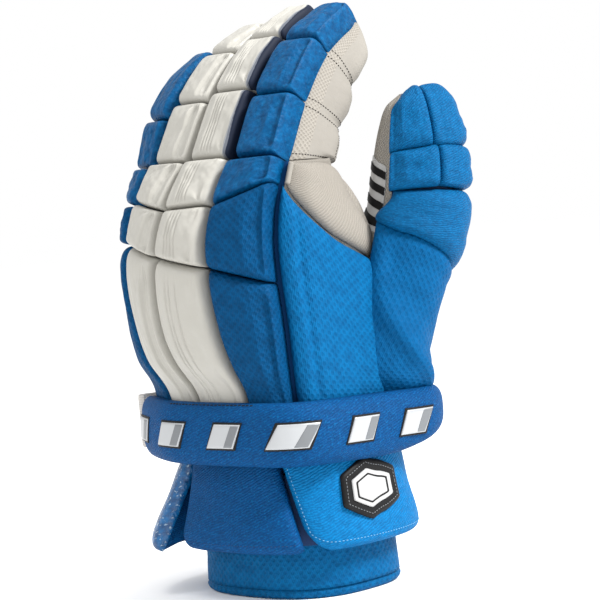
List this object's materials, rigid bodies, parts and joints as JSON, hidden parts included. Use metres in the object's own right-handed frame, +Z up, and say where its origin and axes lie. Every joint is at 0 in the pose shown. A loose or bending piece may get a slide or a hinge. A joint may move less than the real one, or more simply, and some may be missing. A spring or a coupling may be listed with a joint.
{
  "type": "lacrosse glove",
  "caption": "Left-hand padded lacrosse glove standing on its sleeve: foam pads over back of hand and fingers, thumb, wrist strap and cuff flaps; the hollow inside takes a hand.",
  "frame": {"origin": "middle of the outline's bounding box, on the floor that the sleeve stands on", "axes": "+Z up, from sleeve to fingertips; the back of the hand faces -Y, the palm +Y, the thumb is towards +X"},
  "size_m": [0.1748, 0.1528, 0.3202],
  "materials": {
    "blue_mesh": "matt air mesh",
    "blue_knit": "matt ribbed knit",
    "white_leather": "smooth satin",
    "grey_leather": "soft suede",
    "black_rubber": "satin",
    "silver_foil": "gloss",
    "pale_webbing": "woven"
  },
  "bodies": {
    "root": {"pinky_stall": "grey_leather", "pinky_base_pad": "blue_mesh", "pinky_tip_pad": "blue_mesh", "ring_stall": "grey_leather", "ring_base_pad": "white_leather", "ring_mid_pad": "white_leather", "ring_tip_pad": "white_leather", "middle_stall": "grey_leather", "middle_base_pad": "white_leather", "middle_mid_pad": "white_leather", "middle_tip_pad": "white_leather", "index_stall": "grey_leather", "index_base_pad": "blue_mesh", "index_mid_pad": "blue_mesh", "index_tip_pad": "blue_mesh", "pinky_long_pad": "blue_mesh", "pinky_back_pad": "blue_mesh", "pinky_knuckle_pad": "blue_mesh", "ring_long_pad": "white_leather", "ring_back_pad": "white_leather", "ring_knuckle_pad": "white_leather", "middle_long_pad": "white_leather", "middle_back_pad": "white_leather", "middle_knuckle_pad": "white_leather", "index_long_pad": "blue_mesh", "index_back_pad": "blue_mesh", "index_knuckle_pad": "blue_mesh", "thumb_stall_front": "blue_knit", "thumb_stall_rear": "blue_knit", "knuckle_plate": "grey_leather", "back_cloth": "grey_leather", "palm_leather": "grey_leather", "thumb_tip_front": "blue_knit", "thumb_tip_side": "blue_knit", "thumb_mid_front": "blue_knit", "thumb_mid_side": "blue_knit", "thumb_base": "blue_knit", "thumb_heel_panel": "blue_knit", "side_panel": "blue_mesh", "thumb_web": "grey_leather", "wrist_sleeve": "blue_mesh", "flap_thumb_side": "blue_knit", "flap_back": "blue_knit", "flap_pinky_side": "blue_knit", "badge": "black_rubber", "badge_inlay": "silver_foil", "wrist_strap": "blue_knit", "strap_bar_1": "silver_foil", "strap_bar_2": "silver_foil", "strap_bar_3": "silver_foil", "strap_bar_4": "silver_foil", "strap_bar_5": "silver_foil", "strap_bar_6": "silver_foil", "strap_webbing": "pale_webbing"}
  },
  "joints": []
}
